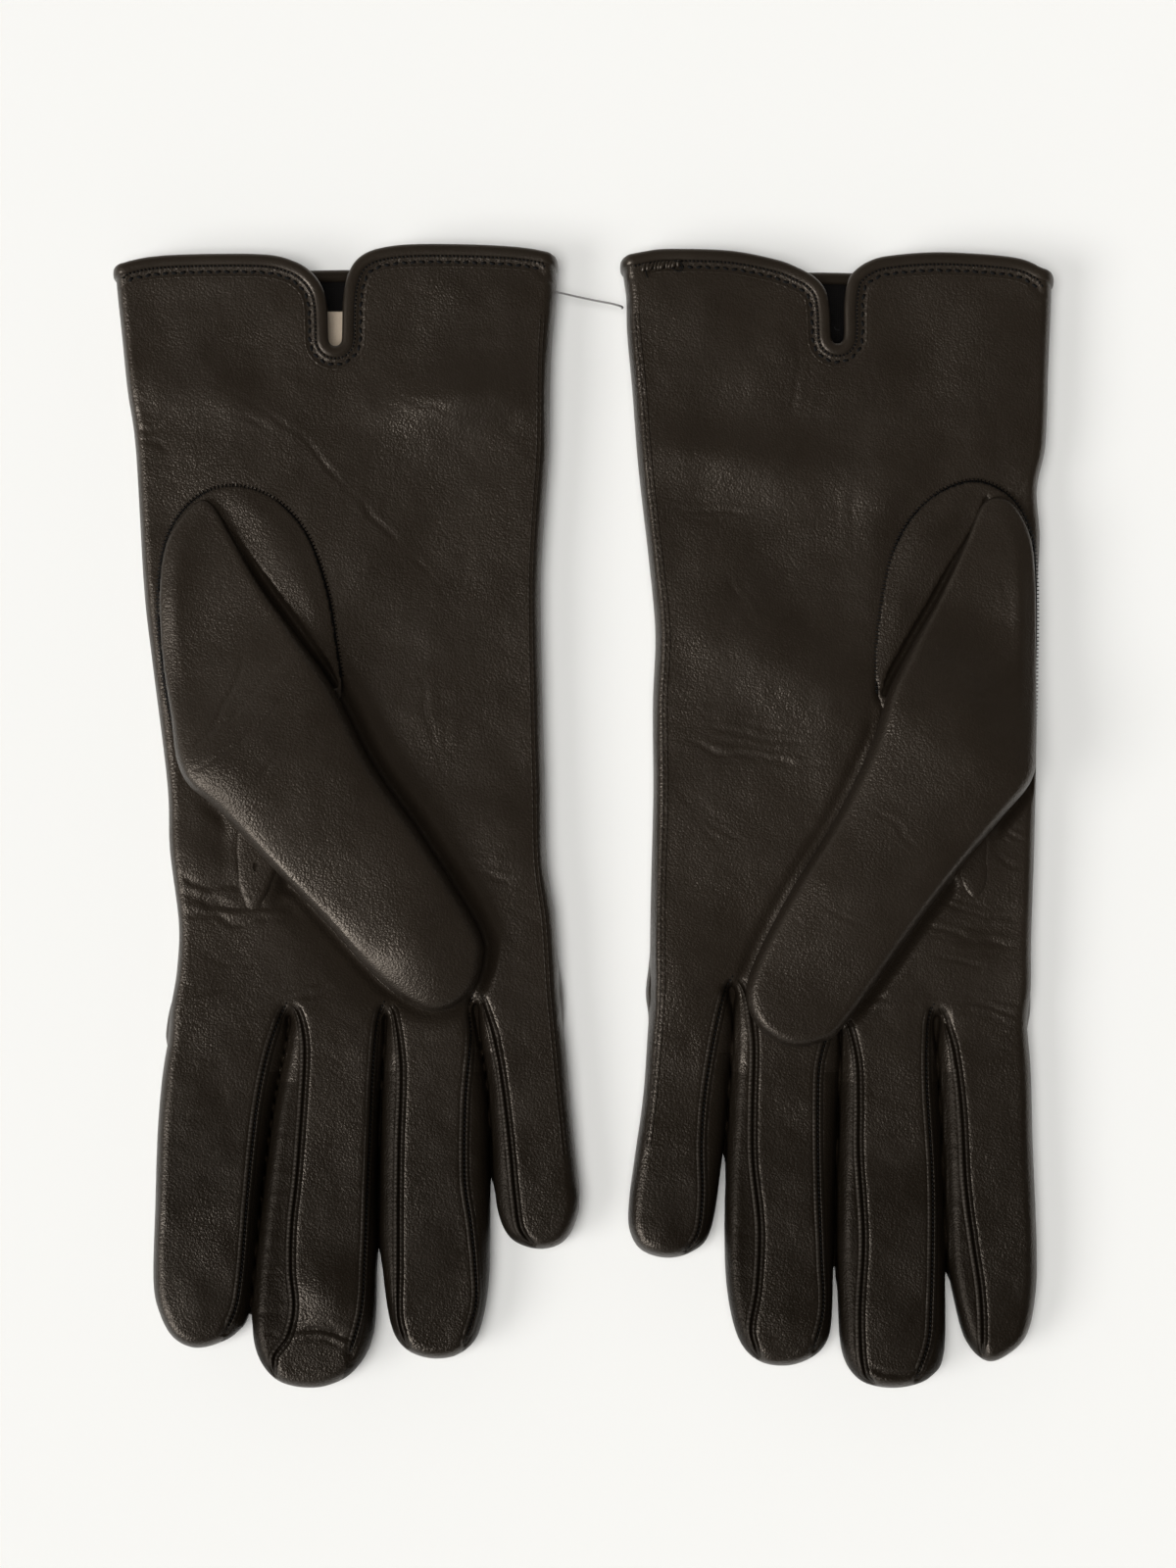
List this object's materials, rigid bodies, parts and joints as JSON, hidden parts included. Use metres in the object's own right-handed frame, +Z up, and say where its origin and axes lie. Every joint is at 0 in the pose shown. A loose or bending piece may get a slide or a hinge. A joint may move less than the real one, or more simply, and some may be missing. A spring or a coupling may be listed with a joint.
{
  "type": "pair of leather dress gloves",
  "caption": "Pair of lined leather dress gloves lying palm up, with fourchetted fingers, set-in thumbs and a notched, bound cuff; fingers and thumbs bend.",
  "frame": {"origin": "middle of the bounding box of the pair, at the surface it lies on, without the tie thread", "axes": "+Z up, away from the surface, so the palms face +Z; +Y from the fingertips towards the cuffs; +X from the right-hand glove to the left-hand glove"},
  "size_m": [0.2296, 0.2792, 0.0253],
  "materials": {
    "leather": "fine-grain nappa leather, very dark brown, soft satin",
    "binding_leather": "same leather folded over the edge, slightly smoother",
    "lining": "dark knitted lining, matt",
    "thread": "black sewing thread",
    "label_cloth": "plain beige woven tape, matt"
  },
  "bodies": {
    "right_palm": {"right_cuff_binding": "binding_leather", "right_cuff_stitching": "thread", "right_fork_1": "leather", "right_fork_2": "leather", "right_fork_3": "leather", "right_label": "label_cloth", "right_palm_lining": "lining", "right_quirk": "leather", "right_side_seam": "thread", "right_thumb_base": "leather", "right_trank": "leather", "tie_thread": "thread"},
    "left_palm": {"left_cuff_binding": "binding_leather", "left_cuff_stitching": "thread", "left_fork_1": "leather", "left_fork_2": "leather", "left_fork_3": "leather", "left_palm_lining": "lining", "left_quirk": "leather", "left_side_seam": "thread", "left_thumb_base": "leather", "left_trank": "leather"},
    "right_index_finger": {"right_index_fourchette": "leather", "right_index_lining": "lining", "right_index_trank": "leather"},
    "right_middle_finger": {"right_middle_back": "leather", "right_middle_fourchette_left": "leather", "right_middle_fourchette_right": "leather", "right_middle_front": "leather", "right_middle_lining": "lining"},
    "right_ring_finger": {"right_ring_back": "leather", "right_ring_fourchette_left": "leather", "right_ring_fourchette_right": "leather", "right_ring_front": "leather", "right_ring_lining": "lining"},
    "right_little_finger": {"right_little_back": "leather", "right_little_fourchette": "leather", "right_little_front": "leather", "right_little_lining": "lining"},
    "right_thumb": {"right_thumb": "leather", "right_thumb_lining": "lining"},
    "left_index_finger": {"left_index_fourchette": "leather", "left_index_lining": "lining", "left_index_trank": "leather"},
    "left_middle_finger": {"left_middle_back": "leather", "left_middle_fourchette_left": "leather", "left_middle_fourchette_right": "leather", "left_middle_front": "leather", "left_middle_lining": "lining"},
    "left_ring_finger": {"left_ring_back": "leather", "left_ring_fourchette_left": "leather", "left_ring_fourchette_right": "leather", "left_ring_front": "leather", "left_ring_lining": "lining"},
    "left_little_finger": {"left_little_back": "leather", "left_little_fourchette": "leather", "left_little_front": "leather", "left_little_lining": "lining"},
    "left_thumb": {"left_thumb": "leather", "left_thumb_lining": "lining"}
  },
  "joints": [
    {"name": "left_palm_swing", "type": "hinge", "parent": "right_palm", "child": "left_palm", "pos_m": [0.0095, 0.1248, 0.0063], "axis": [0, 0, 1], "range_deg": [0, 70]},
    {"name": "right_index_curl", "type": "hinge", "parent": "right_palm", "child": "right_index_finger", "pos_m": [-0.0899, -0.0713, 0.0075], "axis": [-1, 0, 0], "range_deg": [0, 70]},
    {"name": "right_middle_curl", "type": "hinge", "parent": "right_palm", "child": "right_middle_finger", "pos_m": [-0.0654, -0.0737, 0.0075], "axis": [-1, 0, 0], "range_deg": [0, 70]},
    {"name": "right_ring_curl", "type": "hinge", "parent": "right_palm", "child": "right_ring_finger", "pos_m": [-0.037, -0.0713, 0.0075], "axis": [-1, 0, 0], "range_deg": [0, 70]},
    {"name": "right_little_curl", "type": "hinge", "parent": "right_palm", "child": "right_little_finger", "pos_m": [-0.01245, -0.0665, 0.0075], "axis": [-1, 0, 0], "range_deg": [0, 70]},
    {"name": "right_thumb_lift", "type": "hinge", "parent": "right_palm", "child": "right_thumb", "pos_m": [-0.0787, 0.0223, 0.0202], "axis": [-0.8083, -0.5888, 0], "range_deg": [0, 70]},
    {"name": "left_index_curl", "type": "hinge", "parent": "left_palm", "child": "left_index_finger", "pos_m": [0.09925, -0.0713, 0.0075], "axis": [-1, 0, 0], "range_deg": [0, 70]},
    {"name": "left_middle_curl", "type": "hinge", "parent": "left_palm", "child": "left_middle_finger", "pos_m": [0.07525, -0.0737, 0.0075], "axis": [-1, 0, 0], "range_deg": [0, 70]},
    {"name": "left_ring_curl", "type": "hinge", "parent": "left_palm", "child": "left_ring_finger", "pos_m": [0.04825, -0.0713, 0.0075], "axis": [-1, 0, 0], "range_deg": [0, 70]},
    {"name": "left_little_curl", "type": "hinge", "parent": "left_palm", "child": "left_little_finger", "pos_m": [0.0234, -0.0665, 0.0075], "axis": [-1, 0, 0], "range_deg": [0, 70]},
    {"name": "left_thumb_lift", "type": "hinge", "parent": "left_palm", "child": "left_thumb", "pos_m": [0.0905, 0.0205, 0.0202], "axis": [-0.8351, 0.5501, 0], "range_deg": [0, 70]}
  ]
}
